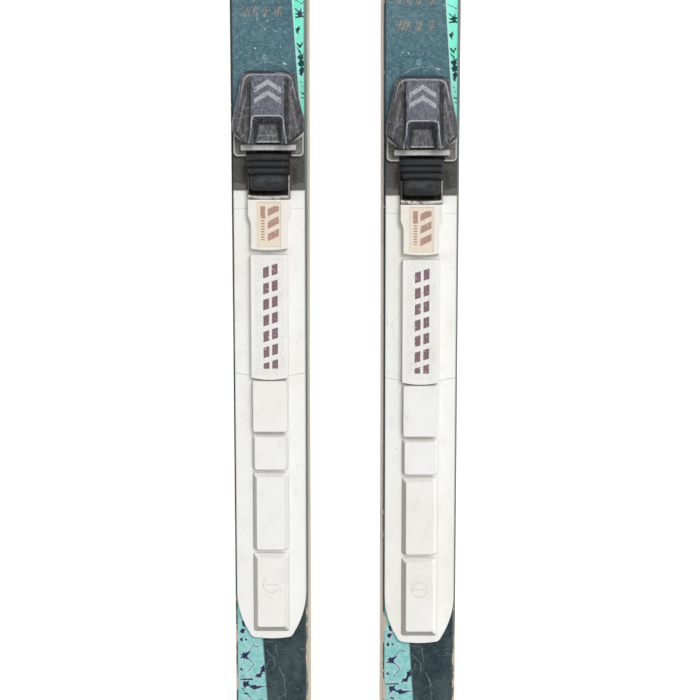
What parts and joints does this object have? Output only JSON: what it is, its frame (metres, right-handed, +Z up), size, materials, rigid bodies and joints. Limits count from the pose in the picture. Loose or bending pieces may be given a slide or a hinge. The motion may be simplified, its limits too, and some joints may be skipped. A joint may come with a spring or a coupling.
{
  "type": "pair of cross-country skis with toe-bar bindings",
  "caption": "Pair of narrow cross-country touring skis with camber and upturned tips, each with a toe-bar binding: press lever, sprung jaw, rubber flexor and ridged sole plate.",
  "frame": {"origin": "middle of the pair at floor level, halfway between tail ends and tip ends", "axes": "+Y towards the tips, +X to the right ski, +Z up"},
  "size_m": [0.1414, 1.953, 0.0771],
  "materials": {
    "running_surface": "ground and waxed",
    "laminate": "resin-bonded glass fibre",
    "core_wood": "raw",
    "sidewall": "worn satin",
    "top_sheet": "printed, scratched gloss",
    "dark_plastic": "satin",
    "grey_plastic": "moulded, dusty",
    "lever_plastic": "moulded, rubbed",
    "steel": "zinc-plated, dull",
    "rubber": "matte",
    "white_plastic": "satin, yellowed",
    "label": "printed sticker"
  },
  "bodies": {
    "left_ski": {"left_running_base": "running_surface", "left_lower_laminate": "laminate", "left_wood_core": "core_wood", "left_sidewalls": "sidewall", "left_upper_laminate": "laminate", "left_top_sheet": "top_sheet", "left_tip_spacer": "sidewall", "left_tail_protector": "dark_plastic", "left_toe_plate": "grey_plastic", "left_toe_housing": "grey_plastic", "left_lever_pin": "steel", "left_fixed_jaw": "steel", "left_return_spring": "steel", "left_spring_rod": "steel", "left_flexor": "rubber", "left_front_plate": "white_plastic", "left_label_cover": "white_plastic", "left_label_inlay": "label", "left_heel_plate": "white_plastic", "left_screw_plug": "white_plastic", "left_toe_screws": "steel", "left_plate_screws": "steel", "left_heel_screw": "steel"},
    "left_press_lever": {"left_lever": "lever_plastic"},
    "left_jaw": {"left_jaw_slide": "steel"},
    "right_ski": {"right_running_base": "running_surface", "right_lower_laminate": "laminate", "right_wood_core": "core_wood", "right_sidewalls": "sidewall", "right_upper_laminate": "laminate", "right_top_sheet": "top_sheet", "right_tip_spacer": "sidewall", "right_tail_protector": "dark_plastic", "right_toe_plate": "grey_plastic", "right_toe_housing": "grey_plastic", "right_lever_pin": "steel", "right_fixed_jaw": "steel", "right_return_spring": "steel", "right_spring_rod": "steel", "right_flexor": "rubber", "right_front_plate": "white_plastic", "right_label_cover": "white_plastic", "right_label_inlay": "label", "right_heel_plate": "white_plastic", "right_screw_plug": "white_plastic", "right_toe_screws": "steel", "right_plate_screws": "steel", "right_heel_screw": "steel"},
    "right_press_lever": {"right_lever": "lever_plastic"},
    "right_jaw": {"right_jaw_slide": "steel"}
  },
  "joints": [
    {"name": "right_ski_glide", "type": "slide", "parent": "left_ski", "child": "right_ski", "axis": [0, 1, 0], "range_m": [-0.4, 0.4]},
    {"name": "left_lever_press", "type": "hinge", "parent": "left_ski", "child": "left_press_lever", "pos_m": [-0.045, -0.0045, 0.04697], "axis": [1, 0, 0], "range_deg": [0, 10], "stiffness_Nm_per_rad": 1.5, "springref_deg": -11.46},
    {"name": "left_jaw_open", "type": "slide", "parent": "left_ski", "child": "left_jaw", "axis": [0, 1, 0], "range_m": [0, 0.0048], "deforming": ["left_return_spring"]},
    {"name": "right_lever_press", "type": "hinge", "parent": "right_ski", "child": "right_press_lever", "pos_m": [0.045, -0.0075, 0.04697], "axis": [1, 0, 0], "range_deg": [0, 10], "stiffness_Nm_per_rad": 1.5, "springref_deg": -11.46},
    {"name": "right_jaw_open", "type": "slide", "parent": "right_ski", "child": "right_jaw", "axis": [0, 1, 0], "range_m": [0, 0.0048], "deforming": ["right_return_spring"]}
  ],
  "couplings": [
    {"joint": "left_jaw_open", "follows": "left_lever_press", "m_per_rad": 0.027},
    {"joint": "right_jaw_open", "follows": "right_lever_press", "m_per_rad": 0.027}
  ]
}
